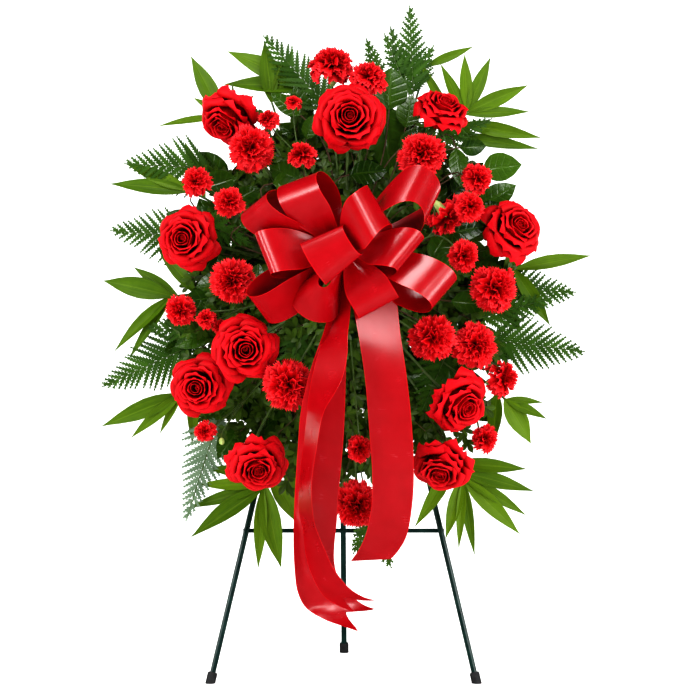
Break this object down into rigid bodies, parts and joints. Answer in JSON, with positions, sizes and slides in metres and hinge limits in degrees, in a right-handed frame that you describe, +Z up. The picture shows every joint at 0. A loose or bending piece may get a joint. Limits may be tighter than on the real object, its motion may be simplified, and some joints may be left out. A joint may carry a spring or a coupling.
{
  "type": "standing funeral arrangement",
  "caption": "Standing spray of red roses, carnations and mixed greens with a satin ribbon bow and tails, in a foam holder on a folding wire easel.",
  "frame": {"origin": "on the floor, at the middle of the whole arrangement's bounding box seen from above", "axes": "+Z up; the flowers face -Y; +X is to the right seen from the front"},
  "size_m": [0.885, 0.6733, 1.2261],
  "materials": {
    "green_enamel": "dark green stoving enamel on steel rod, semi-gloss",
    "black_rubber": "matt black rubber",
    "wet_foam": "soaked floral foam, matt green",
    "tray_plastic": "moulded dark green plastic",
    "florist_wire": "green painted florist's wire",
    "rose_petals": "velvety deep red petals",
    "carnation_petals": "frilled bright red petals",
    "red_satin": "glossy red satin ribbon",
    "palm_leaf": "smooth mid-green palm blades",
    "fern_leaf": "dark green leathery fern",
    "salal_leaf": "glossy green oval leaves"
  },
  "bodies": {
    "stand": {"leg_left": "green_enamel", "leg_right": "green_enamel", "lower_crossbar": "green_enamel", "hinge_bar": "green_enamel", "stop_bar": "green_enamel", "foot_left": "black_rubber", "foot_right": "black_rubber", "foam_brick": "wet_foam", "holder_tray": "tray_plastic", "tie_wire": "florist_wire", "rose_top_left": "rose_petals", "rose_top_centre": "rose_petals", "rose_top_right": "rose_petals", "rose_left_upper": "rose_petals", "rose_right_upper": "rose_petals", "rose_left_inner": "rose_petals", "rose_left_outer": "rose_petals", "rose_bottom_left": "rose_petals", "rose_right_lower": "rose_petals", "rose_bottom_right": "rose_petals", "carnation_top_left": "carnation_petals", "carnation_top_right": "carnation_petals", "carnation_crown_left": "carnation_petals", "carnation_crown_right": "carnation_petals", "carnation_left": "carnation_petals", "carnation_left_lower": "carnation_petals", "carnation_right_upper": "carnation_petals", "carnation_right_lower": "carnation_petals", "carnation_right_outer": "carnation_petals", "carnation_bottom": "carnation_petals", "carnation_spray_top_left": "carnation_petals", "carnation_spray_left_upper": "carnation_petals", "carnation_spray_left_middle": "carnation_petals", "carnation_spray_left_lower": "carnation_petals", "carnation_spray_right_upper": "carnation_petals", "carnation_spray_right_lower": "carnation_petals", "carnation_spray_bottom": "carnation_petals", "palm_top_left": "palm_leaf", "palm_top_right": "palm_leaf", "palm_left": "palm_leaf", "palm_right": "palm_leaf", "palm_bottom_left": "palm_leaf", "palm_bottom_right": "palm_leaf", "fern_top": "fern_leaf", "fern_left_upper": "fern_leaf", "fern_left_lower": "fern_leaf", "fern_right": "fern_leaf", "salal_top": "salal_leaf", "bow_layer_1": "red_satin", "bow_layer_2": "red_satin", "bow_layer_3": "red_satin", "bow_layer_4": "red_satin", "bow_layer_5": "red_satin", "bow_layer_6": "red_satin", "bow_tail_right": "red_satin", "bow_tail_left": "red_satin", "bow_tail_back": "red_satin", "bow_wire": "florist_wire"},
    "rear_leg": {"rear_leg": "green_enamel", "foot_rear": "black_rubber"}
  },
  "joints": [
    {"name": "rear_leg_fold", "type": "hinge", "parent": "stand", "child": "rear_leg", "pos_m": [-0.0035, 0.12948, 0.9], "axis": [-1, 0, 0], "range_deg": [0, 22]}
  ]
}
